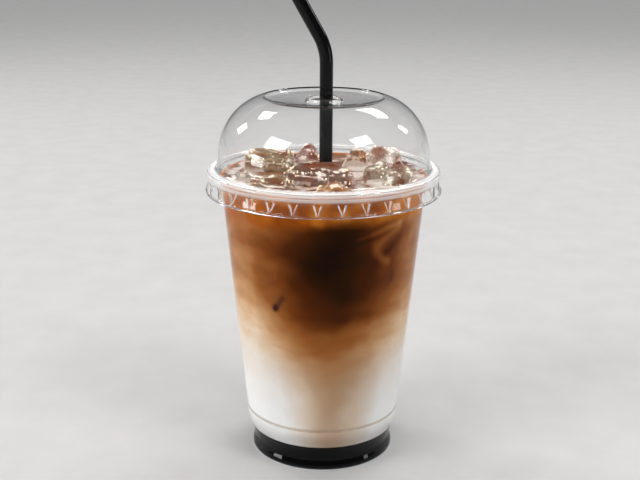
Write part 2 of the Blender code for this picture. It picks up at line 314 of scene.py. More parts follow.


# %% [markdown]
# ## The cup
# One sheet makes the whole cup: a tapered wall, a shoulder with a fine groove, a hollow foot under
# the raised floor, and a rim rolled outwards. A turned profile is the natural way to make it. The
# foot flares a little, and its hollow, in shade, reads almost black against the white milk, so that
# shade is painted on the plastic there as a dark tint, with a painted white highlight along the line
# where it meets the table. The groove gathers a soft brown shadow, painted on as a line.

# %% Cup sizes
CUP_WALL = 0.8 * MM
FOOT_RADIUS = 31.3 * MM
FOOT_WALL = 1.4 * MM
FOOT_CORNER = 0.5 * MM
FOOT_FLARE = 1.1 * MM
FLARE_TOP = 5.6 * MM
FLARE_BOTTOM = 1.4 * MM
FLARE_STEPS = 8
FOOT_EDGE_TOP = 0.9 * MM
FOOT_EDGE_BLUR = 0.15 * MM
FOOT_IOR = 1.27
# The foot's painted shade, and the painted highlight along its lowest edge.
FOOT_PAINTED_SHADE = (0.003, 0.003, 0.004)
FOOT_PAINTED_HIGHLIGHT = (0.85, 0.86, 0.88)
ANKLE_RADIUS = 31.7 * MM
ANKLE_HEIGHT = 11.0 * MM
PAINTED_SHADE_TOP = ANKLE_HEIGHT - 0.3 * MM
SHOULDER_RADIUS = 33.7 * MM
SHOULDER_HEIGHT = 20.0 * MM
GROOVE_DEPTH = 0.35 * MM
GROOVE_HALF_WIDTH = 0.5 * MM
GROOVE_SHADOW = (1.0 * MM, 0.25 * MM)
GROOVE_TINT = (0.58, 0.5, 0.42)
NECK_RADIUS = 43.7 * MM
NECK_HEIGHT = 123.4 * MM
FLOOR_TOP = 11.2 * MM
FLOOR_CORNER = 1.2 * MM
RIM_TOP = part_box("cup")[1].z
RIM_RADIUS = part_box("cup")[1].x
RIM_CURL = 2.1 * MM
RIM_LIP_BOTTOM = 122.6 * MM
CUP_STEPS = 160
CUP_IOR = 1.17


def wall_radius(height):
    """Outer radius of the cup at a height above its ankle."""
    if height >= SHOULDER_HEIGHT:
        slope = (NECK_RADIUS - SHOULDER_RADIUS) / (NECK_HEIGHT - SHOULDER_HEIGHT)
        return SHOULDER_RADIUS + slope * (height - SHOULDER_HEIGHT)
    share = max(height - ANKLE_HEIGHT, 0.0) / (SHOULDER_HEIGHT - ANKLE_HEIGHT)
    return ANKLE_RADIUS + (SHOULDER_RADIUS - ANKLE_RADIUS) * share * (2.0 - share)


def wall_line(low, high, steps, depth=0.0):
    """Points down the cup's wall, moved inwards by a depth."""
    heights = [high + (low - high) * i / steps for i in range(steps + 1)]
    return [(wall_radius(z) - depth, z) for z in heights]


print("the wall widens from", round(ANKLE_RADIUS / MM, 1), "to", round(NECK_RADIUS / MM, 1), "mm")


# %% Cup
def cup_profile():
    """Up the inside, over the rolled rim, down the outside, round the foot and under the floor."""
    floor_edge = wall_radius(FLOOR_TOP + FLOOR_CORNER) - CUP_WALL
    bend = (floor_edge - FLOOR_CORNER, FLOOR_TOP + FLOOR_CORNER)
    inside = [(0.0, FLOOR_TOP), *arc(bend, (FLOOR_CORNER, FLOOR_CORNER), -90, 0, 6)]
    inside += reversed(wall_line(FLOOR_TOP + FLOOR_CORNER + 0.5 * MM, SHOULDER_HEIGHT, 8, CUP_WALL))
    inside += reversed(wall_line(SHOULDER_HEIGHT + 1.0 * MM, NECK_HEIGHT, 12, CUP_WALL))
    curl = (RIM_RADIUS - RIM_CURL, RIM_TOP - RIM_CURL)
    rim = arc(curl, (RIM_CURL, RIM_CURL), 155, 0, 18)
    rim += [(RIM_RADIUS, RIM_LIP_BOTTOM), (RIM_RADIUS - CUP_WALL, RIM_LIP_BOTTOM)]
    rim += arc(curl, (RIM_CURL - CUP_WALL, RIM_CURL - CUP_WALL), 0, 150, 8)
    groove = [
        (wall_radius(SHOULDER_HEIGHT) - GROOVE_DEPTH * math.exp(-(step / 2.2) ** 2),
         SHOULDER_HEIGHT - GROOVE_HALF_WIDTH * step / 4)
        for step in range(-5, 6)
    ]
    outside = wall_line(SHOULDER_HEIGHT + 0.8 * MM, NECK_HEIGHT, 12)
    outside += groove + wall_line(ANKLE_HEIGHT, SHOULDER_HEIGHT - 0.8 * MM, 10)
    for step in range(FLARE_STEPS + 1):
        share = step / FLARE_STEPS
        flare = FOOT_FLARE * (1.0 - share * share * (3.0 - 2.0 * share))
        outside.append((FOOT_RADIUS - flare, FLARE_TOP + (FLARE_BOTTOM - FLARE_TOP) * share))
    outside += arc((FOOT_RADIUS - FOOT_CORNER, FOOT_CORNER), (FOOT_CORNER, FOOT_CORNER), 0, -90, 6)
    inner_foot = FOOT_RADIUS - FOOT_WALL
    under = [(inner_foot, 0.0), (inner_foot, FLOOR_TOP - CUP_WALL), (0.0, FLOOR_TOP - CUP_WALL)]
    return inside + rim + outside + under


def wall_tint(tree, place, haze):
    """Clear, with a soft brown line where the groove gathers shadow."""
    gap = maths(tree, "ABSOLUTE", minus(tree, split(tree, place)[2], SHOULDER_HEIGHT))
    groove = remap(tree, gap, *GROOVE_SHADOW)
    tint = ramp(tree, groove, [(0.0, CLEAR), (1.0, GROOVE_TINT)])
    return tint, haze, remap(tree, groove, 0.0, 1.0, 1.0, 0.8)


def painted_shade_foot(tree, place, haze):
    """Painted shade, dark as the shaded hollow seen through it, and a painted white highlight along the
    lowest edge.
    """
    edge = remap(tree, split(tree, place)[2], FOOT_EDGE_TOP + FOOT_EDGE_BLUR, FOOT_EDGE_TOP - FOOT_EDGE_BLUR)
    shade_and_highlight = ramp(tree, edge, [(0.0, FOOT_PAINTED_SHADE), (1.0, FOOT_PAINTED_HIGHLIGHT)])
    return shade_and_highlight, haze, remap(tree, edge, 0.0, 1.0, 1.0, 0.3)


def make_cup():
    cup = turned("cup_shell", cup_profile(), CUP_STEPS)
    cup.data.materials.append(clear_plastic("clear_cup", CUP_IOR, wall_tint))
    cup.data.materials.append(clear_plastic("painted_shade_foot", FOOT_IOR, painted_shade_foot))
    # Faces below the top of the painted shade take the foot's painted shade.
    for face in cup.data.polygons:
        face.material_index = 1 if face.center.z < PAINTED_SHADE_TOP else 0
    cup.data.set_sharp_from_angle(angle=math.radians(50))
    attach(cup, "root")
    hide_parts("cup")
    print("cup shell:", len(cup.data.polygons), "faces")


make_cup()

# %% [markdown]
# ## The lid
# The lid snaps over the rolled rim. From the middle outwards it has a collar round the straw hole, a
# dished top, a tall dome, a crease where the dome meets the bead, fine rings on the bead, and a skirt
# that flares to a curled edge. Its section is again a turned line, given its thickness by moving the
# line square to itself.

# %% Lid sizes
LID_WALL = 0.6 * MM
SKIRT_EDGE_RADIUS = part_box("lid")[1].x
SKIRT_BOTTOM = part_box("lid")[0].z
SKIRT_LIP = 0.5 * MM
SKIRT_LIP_RISE = 0.7 * MM
WAIST_RADIUS = 49.0 * MM
WAIST_HEIGHT = 121.6 * MM
CREASE_HEIGHT = 123.0 * MM
BEAD_RADIUS = 49.3 * MM
BEAD_TOP = 127.3 * MM
BEAD_CORNER = 1.7 * MM
RING_COUNT = 3
RING_HEIGHT = 0.2 * MM
POINTS_PER_RING = 6
DOME_FOOT_RADIUS = 45.8 * MM
DOME_RADIUS = 44.6 * MM
DOME_SIDE_BOTTOM = 130.0 * MM
DOME_SHOULDER_HEIGHT = 132.0 * MM
DOME_CROWN = (24.1 * MM, 25.8 * MM)
DISH_RADIUS = 25.2 * MM
DISH_STEP = 1.2 * MM
DISH_CENTRE_HEIGHT = 155.0 * MM
COLLAR_RADIUS = 7.4 * MM
COLLAR_TOP = 156.3 * MM
COLLAR_BOTTOM = 154.3 * MM
COLLAR_ROUND = 0.4 * MM
HOLE_RADIUS = 6.7 * MM
LID_STEPS = 384
LID_IOR = 1.33


def bead_top_line():
    """The bead's flat top with fine rings in it, from the dome outwards."""
    start, stop = DOME_FOOT_RADIUS, BEAD_RADIUS - BEAD_CORNER
    points = []
    for index in range(RING_COUNT * POINTS_PER_RING + 1):
        share = index / (RING_COUNT * POINTS_PER_RING)
        ring = RING_HEIGHT * (0.5 - 0.5 * math.cos(share * RING_COUNT * math.tau))
        points.append((start + (stop - start) * share, BEAD_TOP - ring))
    return points


def lid_sheet():
    """Outer face of the lid's sheet, from beside the collar down to the skirt's edge."""
    crown = (DOME_RADIUS - DOME_CROWN[0], DOME_SHOULDER_HEIGHT)
    edge_angle = math.degrees(math.acos((DISH_RADIUS - crown[0]) / DOME_CROWN[0]))
    edge_height = DOME_SHOULDER_HEIGHT + DOME_CROWN[1] * math.sin(math.radians(edge_angle))
    dish_edge = (DISH_RADIUS - DISH_STEP, edge_height - DISH_STEP)
    points = [(COLLAR_RADIUS + LID_WALL, DISH_CENTRE_HEIGHT)]
    points += line(points[-1], dish_edge, 8)
    points += line(dish_edge, (DISH_RADIUS - 0.35 * MM, edge_height - 0.2 * MM), 3)
    points += arc(crown, DOME_CROWN, edge_angle, 0, 30)
    points += line(points[-1], (DOME_RADIUS, DOME_SIDE_BOTTOM + 1.0 * MM), 2)
    points += [(DOME_RADIUS + 0.22 * MM, DOME_SIDE_BOTTOM + 0.5 * MM), (DOME_RADIUS, DOME_SIDE_BOTTOM)]
    points += line(points[-1], (DOME_FOOT_RADIUS - 0.5 * MM, BEAD_TOP + 0.9 * MM), 4)
    points += bead_top_line()
    bead = (BEAD_RADIUS - BEAD_CORNER, BEAD_TOP - BEAD_CORNER)
    points += arc(bead, (BEAD_CORNER, BEAD_CORNER), 80, 0, 7)
    points += line(points[-1], (BEAD_RADIUS, CREASE_HEIGHT + 0.6 * MM), 2)
    points += line(points[-1], (WAIST_RADIUS - 0.1 * MM, CREASE_HEIGHT), 2)
    points += line(points[-1], (WAIST_RADIUS, WAIST_HEIGHT), 5)
    lip = (SKIRT_EDGE_RADIUS - SKIRT_LIP, SKIRT_BOTTOM + SKIRT_LIP_RISE)
    points += line(points[-1], (lip[0], lip[1] + SKIRT_LIP_RISE), 12)
    points += arc(lip, (SKIRT_LIP, SKIRT_LIP_RISE), 60, -60, 5)
    return points


def lid_profile():
    outside = lid_sheet()
    inside = inner_side(outside, LID_WALL)
    collar = arc(((COLLAR_RADIUS + HOLE_RADIUS) / 2, COLLAR_TOP - COLLAR_ROUND),
                 ((COLLAR_RADIUS - HOLE_RADIUS) / 2, COLLAR_ROUND), 180, 0, 8)
    hole = [(HOLE_RADIUS + 0.2 * MM, COLLAR_BOTTOM), (HOLE_RADIUS, COLLAR_BOTTOM + 0.3 * MM)]
    return outside + list(reversed(inside)) + hole + collar + [outside[0]]


print("the lid's section has", len(lid_profile()), "points")

# %% [markdown]
# The skirt carries thirty-two V-shaped dents that grip the rim. They repeat, so Geometry Nodes make
# them: the tree measures how far each point lies from the middle of its own dent, along the skirt
# and down it, and presses the point inwards. It crowds the columns of points towards each V, so that
# the edges come out crisp, and it marks those edges for the material, which paints a white highlight
# along them. Changing the count or the size is one number.

# %% Trees of Geometry Nodes
def geometry_tree(name, sizes):
    """A Geometry Nodes tree with a named input for each size; None stands for a material."""
    tree = bpy.data.node_groups.new(name, "GeometryNodeTree")
    tree.interface.new_socket("Geometry", in_out="INPUT", socket_type="NodeSocketGeometry")
    for label, value in sizes.items():
        kind = {float: "Float", int: "Int"}.get(type(value), "Material")
        socket = tree.interface.new_socket(label, in_out="INPUT", socket_type="NodeSocket" + kind)
        if value is not None:
            socket.default_value = value
    tree.interface.new_socket("Geometry", in_out="OUTPUT", socket_type="NodeSocketGeometry")
    return tree, tree.nodes.new("NodeGroupInput").outputs


def close_tree(tree, shape, finish):
    """End a tree: make its instances real, coat them and hand out the mesh."""
    solid = add_node(tree, "GeometryNodeRealizeInstances", {0: shape})
    coated = add_node(tree, "GeometryNodeSetMaterial", {0: solid.outputs[0], "Material": finish})
    add_node(tree, "NodeGroupOutput", {"Geometry": coated.outputs[0]})
    return tree


def run_tree(item, tree, values):
    """Run a Geometry Nodes tree on an object, with its inputs set by identifier, and freeze it."""
    modifier = item.modifiers.new(tree.name, "NODES")
    modifier.node_group = tree
    for socket in tree.interface.items_tree:
        if socket.item_type == "SOCKET" and socket.in_out == "INPUT" and socket.name in values:
            modifier[socket.identifier] = values[socket.name]
    return frozen(item)


# %% Dents in the skirt
DENT_COUNT = 32
DENT_PHASE = math.radians(-92.6)
DENT_HALF_WIDTH = 1.75 * MM
DENT_TOP = 122.65 * MM
DENT_POINT = 118.4 * MM
DENT_DEPTH = 1.2 * MM
DENT_SHARE = 0.25
NARROWEST = 0.02
OUTER_CROWDING = 2.2
CREASE_REACH = 0.28


def dent_tree():
    """Crowd the columns of points along each V, then press what lies inside it."""
    tree, given = geometry_tree("skirt_dents", {
        "Count": float(DENT_COUNT), "Phase": DENT_PHASE, "Half Width": DENT_HALF_WIDTH,
        "Depth": DENT_DEPTH, "Top": DENT_TOP, "Point": DENT_POINT, "Plastic": None})
    place = add_node(tree, "GeometryNodeInputPosition").outputs[0]
    x, y, z = split(tree, place)
    radius = vectors(tree, "LENGTH", flat(tree, place))
    pitch = maths(tree, "DIVIDE", math.tau, given["Count"])
    bearing = maths(tree, "ARCTAN2", y, x)
    turn = maths(tree, "DIVIDE", minus(tree, bearing, given["Phase"]), pitch)
    phase = maths(tree, "WRAP", turn, 0.5, -0.5)
    span = minus(tree, given["Top"], given["Point"])
    down = maths(tree, "DIVIDE", minus(tree, z, given["Point"]), span)
    on_skirt = maths(tree, "GREATER_THAN", radius, WAIST_RADIUS - 2 * LID_WALL)
    inside = times(tree, maths(tree, "COMPARE", down, 0.5, 0.5), on_skirt)
    widest = maths(tree, "DIVIDE", given["Half Width"], times(tree, pitch, radius))
    width = maths(tree, "MAXIMUM", times(tree, down, widest), NARROWEST)
    share = maths(tree, "DIVIDE", maths(tree, "ABSOLUTE", phase), DENT_SHARE)
    past = maths(tree, "DIVIDE", minus(tree, share, 1.0), 1 / (2 * DENT_SHARE) - 1)
    past = maths(tree, "POWER", maths(tree, "MAXIMUM", past, 0.0), OUTER_CROWDING)
    outer = plus(tree, width, times(tree, past, minus(tree, 0.5, width)))
    crowded = maths(tree, "MINIMUM", times(tree, share, width), 1.0)
    beyond = maths(tree, "GREATER_THAN", share, 1.0)
    moved = add_node(tree, "GeometryNodeSwitch", {
        "Switch": beyond, "False": crowded, "True": outer}, input_type="FLOAT")
    signed = times(tree, moved.outputs[0], maths(tree, "SIGN", phase))
    angle = plus(tree, bearing, times(tree, minus(tree, signed, phase), pitch, inside))
    pressed = times(tree, minus(tree, 1.0, share), 3.0, clamp=True)
    taper = maths(tree, "POWER", maths(tree, "MAXIMUM", down, 0.0), 0.6)
    final = minus(tree, radius, times(tree, pressed, inside, given["Depth"], taper))
    target = add_node(tree, "ShaderNodeCombineXYZ", {
        0: times(tree, final, maths(tree, "COSINE", angle)),
        1: times(tree, final, maths(tree, "SINE", angle)), 2: z})
    # Nearness to a dent's edge, where the lid's material paints a white highlight.
    from_edge = maths(tree, "DIVIDE", maths(tree, "ABSOLUTE", minus(tree, share, 1.0)), CREASE_REACH)
    crease = times(tree, minus(tree, 1.0, from_edge, clamp=True), inside)
    marked = add_node(tree, "GeometryNodeStoreNamedAttribute", {
        "Geometry": given["Geometry"], "Name": "crease", "Value": crease})
    dented = add_node(tree, "GeometryNodeSetPosition", {
        "Geometry": marked.outputs[0], "Position": target.outputs[0]})
    return close_tree(tree, dented.outputs[0], given["Plastic"])


# %% Lid
# Whiteness of the bead, partly frost and partly painted reflection, and the painted highlight on the dents'
# edges.
BEAD_FROST_AND_SHEEN = 0.4
BEAD_LINE_PITCH = 1.5 * MM
BEAD_EDGE_BLUR = 0.4 * MM
BEAD_ROUGHNESS = 0.12
DENT_EDGE_HIGHLIGHT = 0.46
BEAD_TINTS = [(0.0, CLEAR), (0.38, (0.95, 0.94, 0.93)), (0.5, (0.95, 0.83, 0.68))]


def bead_frost_and_glints(tree, place, haze):
    """Clear; a painted highlight on the dents' edges; the folded bead white, partly frost, partly painted
    reflection.
    """
    height = split(tree, place)[2]
    radius = vectors(tree, "LENGTH", flat(tree, place))
    outside = remap(tree, radius, DOME_FOOT_RADIUS - BEAD_EDGE_BLUR, DOME_FOOT_RADIUS + BEAD_EDGE_BLUR)
    above = remap(tree, height, CREASE_HEIGHT, CREASE_HEIGHT + 2 * BEAD_EDGE_BLUR)
    # The bead's white lies in concentric lines, painted highlights of the light that its fine rings catch.
    across = maths(tree, "DIVIDE", minus(tree, height, radius), BEAD_LINE_PITCH / math.tau)
    lines = maths(tree, "MULTIPLY_ADD", maths(tree, "SINE", across), 0.4, 0.6)
    frost_and_sheen = times(tree, outside, above, lines)
    # Painted highlight along the dents' edges.
    crease = times(tree, stored(tree, "crease")["Fac"], DENT_EDGE_HIGHLIGHT)
    white = plus(tree, times(tree, frost_and_sheen, BEAD_FROST_AND_SHEEN), crease, clamp=True)
    tint = ramp(tree, white, BEAD_TINTS)
    roughness = maths(tree, "MAXIMUM", haze, times(tree, frost_and_sheen, BEAD_ROUGHNESS))
    return tint, roughness, minus(tree, 1.0, white)


def make_lid():
    finish = clear_plastic("clear_lid", LID_IOR, bead_frost_and_glints)
    blank = turned("lid_shell", lid_profile(), LID_STEPS)
    lid = run_tree(blank, dent_tree(), {"Plastic": finish})
    lid.data.set_sharp_from_angle(angle=math.radians(60))
    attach(lid, "root")
    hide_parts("lid")
    print("lid shell:", len(lid.data.polygons), "faces,", DENT_COUNT, "dents")


make_lid()

# %% [markdown]
# ## The straw
# A bendy straw is a thin black tube. Its bend is a stretch of ribs, narrow in their valleys. A path
# with a radius at each point describes it completely, so Geometry Nodes sweep a circle along that
# path, and Solidify gives the tube its wall.

# %% Straw
STRAW_X = 0.9 * MM
STRAW_Y = -1.2 * MM
STRAW_RADIUS = 2.8 * MM
STRAW_WALL = 0.3 * MM
STRAW_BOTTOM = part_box("straw")[0].z
BEND_START = 170.3 * MM
BEND_ANGLE = math.radians(29.7)
RIBS = 8
RIB_PITCH = 1.55 * MM
RIB_DEPTH = 0.45 * MM
POINTS_PER_RIB = 10
STRAW_ARM = 42.0 * MM
STRAW_SIDES = 40
STRAW_IOR = 1.28
STRAW_BLACKS = [(0.5, (0.0015, 0.0015, 0.002)), (0.8, (0.005, 0.005, 0.0055))]
DRAWN_LINE_SIZE = MM / 2.6
DUST_SIZE = MM / 0.9


def straw_path():
    """Points and radii of the straw: straight, ribbed bend, straight arm."""
    bend = Vector((STRAW_X, STRAW_Y, BEND_START))
    heights = [STRAW_BOTTOM + (BEND_START - STRAW_BOTTOM) * i / 12 for i in range(12)]
    path = [(Vector((STRAW_X, STRAW_Y, z)), STRAW_RADIUS) for z in heights]
    turn_radius = RIBS * RIB_PITCH / BEND_ANGLE
    for index in range(RIBS * POINTS_PER_RIB + 1):
        angle = BEND_ANGLE * index / (RIBS * POINTS_PER_RIB)
        swing = Vector((-turn_radius * (1 - math.cos(angle)), 0.0, turn_radius * math.sin(angle)))
        valley = abs(math.sin(math.pi * index / POINTS_PER_RIB)) ** 1.5
        path.append((bend + swing, STRAW_RADIUS - RIB_DEPTH * valley))
    arm = Vector((-math.sin(BEND_ANGLE), 0.0, math.cos(BEND_ANGLE)))
    corner = path[-1][0]
    path += [(corner + arm * STRAW_ARM * i / 6, STRAW_RADIUS) for i in range(1, 7)]
    return path


def sweep_tree():
    sizes = {"Radius": STRAW_RADIUS, "Sides": STRAW_SIDES, "Plastic": None}
    tree, given = geometry_tree("straw_sweep", sizes)
    circle = add_node(tree, "GeometryNodeCurvePrimitiveCircle", {
        "Resolution": given["Sides"], "Radius": given["Radius"]})
    tube = add_node(tree, "GeometryNodeCurveToMesh", {0: given["Geometry"], 1: circle.outputs[0]})
    return close_tree(tree, tube.outputs[0], given["Plastic"])


def black_plastic():
    """Glossy black with faint lengthwise drawing lines and a trace of dust."""
    material, tree, shader, place = new_material("black_straw")
    stretch = add_node(tree, "ShaderNodeMapping", {"Vector": place, "Scale": (1.0, 1.0, 0.06)})
    lines = clouds(tree, stretch.outputs[0], DRAWN_LINE_SIZE, 2.0)["Fac"]
    dust = clouds(tree, place, DUST_SIZE, 4.0)["Fac"]
    fill(tree, shader, {
        "Base Color": ramp(tree, dust, STRAW_BLACKS),
        "Roughness": remap(tree, dust, 0.4, 0.7, 0.10, 0.17),
        "Normal": bump_from(tree, lines, 0.01 * MM), "IOR": STRAW_IOR})
    return material


def make_straw():
    path = straw_path()
    curve = bpy.data.curves.new("straw_tube", "CURVE")
    curve.dimensions = "3D"
    spline = curve.splines.new("POLY")
    spline.points.add(len(path) - 1)
    for point, (place, radius) in zip(spline.points, path):
        point.co = (*place, 1.0)
        point.radius = radius / STRAW_RADIUS
    straw = run_tree(add_mesh("straw_tube", curve), sweep_tree(), {"Plastic": black_plastic()})
    wall = straw.modifiers.new("Wall", "SOLIDIFY")
    wall.thickness = STRAW_WALL
    wall.offset = -1.0
    straw = frozen(straw)
    straw.data.shade_smooth()
    straw.data.set_sharp_from_angle(angle=math.radians(60))
    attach(straw, "root")
    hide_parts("straw")
    print("straw:", len(straw.data.polygons), "faces,", RIBS, "ribs")


make_straw()

# %% [markdown]
# ## Ice
# Ice that floats in a drink is chipped, and then melts: flat facets meet in soft ridges, and water
# licks shallow hollows into them. Each block starts as a merged copy of its plain solid, so it stays
# where the drink was cut for it. Slanted planes chip pieces off, always inwards, then a voxel remesh
# and a little noise do the melting. No two blocks look alike, so each has its own tint, with pockets
# of coffee in it and milky patches near the waterline. Edges catch the light and go white: how
# sharply the surface turns is measured once, and kept on the mesh for the material to read.

# %% Ice sizes
ICE_NODES = sorted(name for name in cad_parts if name.startswith("ice_"))
ICE_SEED = 11
ICE_VOXEL = 0.45 * MM
CHIP_COUNT = 6
CHIP_DEPTH = (0.3 * MM, 1.1 * MM)
CHIP_RISE = (20, 75)
HOLLOW_SIZE = 7.0 * MM
HOLLOW_DEPTH = 0.7 * MM
RIPPLE_SIZE = 2.2 * MM
RIPPLE_DEPTH = 0.2 * MM
EDGE_BEND = (0.05, 0.16)
DIMPLE_SIZE = 1.6 * MM
PATCH_SIZE = 5.5 * MM
WASH_SIZE = 9.0 * MM
WATERLINE_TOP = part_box("coffee_layer")[1].z + 3.5 * MM
WATERLINE_BLUR = 2.5 * MM
ICE_IOR = 1.45
ICE_CLEARNESS = 0.7
ICE_SHADOW = (0.93, 0.9, 0.87)
ICE_WHITE = shade(224, 214, 203)
COFFEE_POCKET = shade(140, 64, 22)
ICE_TINTS = {
    "ice_01": shade(176, 152, 118), "ice_02": shade(192, 154, 146), "ice_03": shade(138, 102, 82),
    "ice_04": shade(172, 118, 80), "ice_05": shade(230, 220, 208), "ice_06": shade(186, 166, 142),
    "ice_07": shade(126, 70, 48), "ice_08": shade(164, 132, 94), "ice_09": shade(92, 56, 36),
    "ice_10": shade(192, 130, 64),
}
print(len(ICE_NODES), "blocks of ice")


# %% Chipping and melting
def compass(bearing, rise):
    """Unit vector from a bearing (degrees right of +Y) and a height above the horizon."""
    turn, lift = math.radians(bearing), math.radians(rise)
    return Vector((math.sin(turn) * math.cos(lift), math.cos(turn) * math.cos(lift), math.sin(lift)))


def merged_copy(node):
    """A copy of a solid's loose triangles with its doubles merged, as a bmesh."""
    shape = bmesh.new()
    shape.from_mesh(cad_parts[node].data)
    bmesh.ops.remove_doubles(shape, verts=shape.verts, dist=0.01 * MM)
    return shape


def chip(shape, way, depth):
    """Cut off what lies within a depth of the block's furthest point in one direction."""
    reach = max(vertex.co.dot(way) for vertex in shape.verts) - depth
    parts = shape.verts[:] + shape.edges[:] + shape.faces[:]
    cut = bmesh.ops.bisect_plane(shape, geom=parts, plane_co=way * reach, plane_no=way, clear_outer=True)
    rim = [part for part in cut["geom_cut"] if isinstance(part, bmesh.types.BMEdge)]
    bmesh.ops.contextual_create(shape, geom=rim)


def carve(mesh, seed):
    """Press hollows and ripples into a block, along its normals."""
    drift = Vector((seed * 3.1, seed * 1.7, seed * 2.3))
    normals = [vertex.normal.copy() for vertex in mesh.vertices]
    for vertex, normal in zip(mesh.vertices, normals):
        hollow = noise.noise(vertex.co / HOLLOW_SIZE + drift)
        ripple = noise.noise(vertex.co / RIPPLE_SIZE + drift)
        depth = HOLLOW_DEPTH * max(hollow + 0.15, 0.0) + RIPPLE_DEPTH * (0.5 + 0.5 * ripple)
        vertex.co -= normal * depth


def rows(items, what, width, kind=float):
    """One property of all points or edges as a numpy table."""
    values = np.empty(len(items) * width, dtype=kind)
    items.foreach_get(what, values)
    return values.reshape(-1, width)


def mark_edges(mesh):
    """Store how sharply the surface turns outwards at each point, 0 on facets and 1 on edges."""
    places, normals = rows(mesh.vertices, "co", 3), rows(mesh.vertices, "normal", 3)
    starts, stops = rows(mesh.edges, "vertices", 2, int).T
    ways = places[stops] - places[starts]
    ways /= np.linalg.norm(ways, axis=1, keepdims=True)
    bend = np.zeros(len(places))
    np.add.at(bend, starts, -np.sum(ways * normals[starts], axis=1))
    np.add.at(bend, stops, np.sum(ways * normals[stops], axis=1))
    bend /= np.bincount(np.concatenate((starts, stops)), minlength=len(places))
    flattest, sharpest = EDGE_BEND
    edge = mesh.attributes.new("edge", "FLOAT", "POINT")
    edge.data.foreach_set("value", np.clip((bend - flattest) / (sharpest - flattest), 0.0, 1.0))


def wet_ice():
    """Wet ice: each block's own tint with brown pockets, white patches and waterline, and painted highlights
    on the edges.
    """
    material, tree, shader, place = new_material("wet_ice")
    dimples = clouds(tree, place, DIMPLE_SIZE, 2.0)["Fac"]
    patches = clouds(tree, place, PATCH_SIZE, 4.0)["Fac"]
    wash = clouds(tree, place, WASH_SIZE, 3.0)["Fac"]
    edge, tint = stored(tree, "edge")["Fac"], stored(tree, "tint")["Color"]
    pocket = times(tree, remap(tree, patches, 0.48, 0.41), 0.85)
    low = remap(tree, split(tree, place)[2], WATERLINE_TOP, WATERLINE_TOP - WATERLINE_BLUR)
    waterline = times(tree, low, remap(tree, wash, 0.42, 0.52))
    cloudy = maths(tree, "MAXIMUM", waterline, remap(tree, patches, 0.56, 0.64))
    # Painted highlight: sharp edges are painted white, over the ice's own white patches and waterline.
    white = maths(tree, "MAXIMUM", times(tree, cloudy, 0.8), times(tree, edge, 0.9))
    stained = blend_colour(tree, pocket, tint, COFFEE_POCKET)
    fill(tree, shader, {
        "Base Color": blend_colour(tree, white, stained, ICE_WHITE),
        "Transmission Weight": minus(tree, ICE_CLEARNESS, times(tree, white, 0.6), clamp=True),
        "Roughness": remap(tree, cloudy, 0.0, 1.0, 0.02, 0.2),
        "Normal": bump_from(tree, dimples, 0.2 * MM), "IOR": ICE_IOR})
    let_lamps_through(tree, shader, ICE_SHADOW)
    return material


# %% Ice blocks
def make_block(node, number, draw, finish):
    shape = merged_copy(node)
    for _ in range(CHIP_COUNT):
        chip(shape, compass(draw.uniform(0, 360), draw.uniform(*CHIP_RISE)), draw.uniform(*CHIP_DEPTH))
    mesh = bpy.data.meshes.new(f"ice_block_{number:02d}")
    shape.to_mesh(mesh)
    shape.free()
    block = add_mesh(mesh.name, mesh)
    remesh = block.modifiers.new("Even faces", "REMESH")
    remesh.mode = "VOXEL"
    remesh.voxel_size = ICE_VOXEL
    smooth = block.modifiers.new("Soften", "SMOOTH")
    smooth.factor = 0.5
    smooth.iterations = 1
    block = frozen(block)
    carve(block.data, number)
    mark_edges(block.data)
    tint = block.data.attributes.new("tint", "FLOAT_COLOR", "POINT")
    tint.data.foreach_set("color", (*ICE_TINTS[node], 1.0) * len(block.data.vertices))
    block.data.materials.clear()
    block.data.materials.append(finish)
    block.data.shade_smooth()
    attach(block, "root")
    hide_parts(node)
    return block


def make_ice():
    finish = wet_ice()
    draw = random.Random(ICE_SEED)
    blocks = [make_block(node, number, draw, finish) for number, node in enumerate(ICE_NODES, start=1)]
    print(len(blocks), "ice blocks,", sum(len(block.data.polygons) for block in blocks), "faces")
    return blocks


ice_blocks = make_ice()

# %% [markdown]
# Bubbles that froze in the blocks sparkle, and their glints are painted on them as white and golden
# specks, in swarms. They are the same thing hundreds of times, so Geometry Nodes scatter them: points
# fall on the blocks' faces where a noise is high, most sink just under the surface, and each takes a
# tiny ball of twenty faces.

# %% Bubbles in the ice
BUBBLE_RADIUS = 0.36 * MM
BUBBLE_DENSITY = 0.9 / MM**2
BUBBLE_SINK = 0.3 * MM
BUBBLE_SEED = 5
CLUSTER_SIZE = 8.0 * MM
LOWEST_BUBBLE = 123.0 * MM
SINK_RANGE = (-0.3, 1.0)
SMALLEST_SHARE = 0.5
LARGE_EXTRA = 1.3
LARGE_RARITY = 4.0
BALL_FACES = 20


def random_value(tree, low, high, seed):
    """A random number for each point."""
    return add_node(tree, "FunctionNodeRandomValue", {2: low, 3: high, "Seed": seed}).outputs[1]


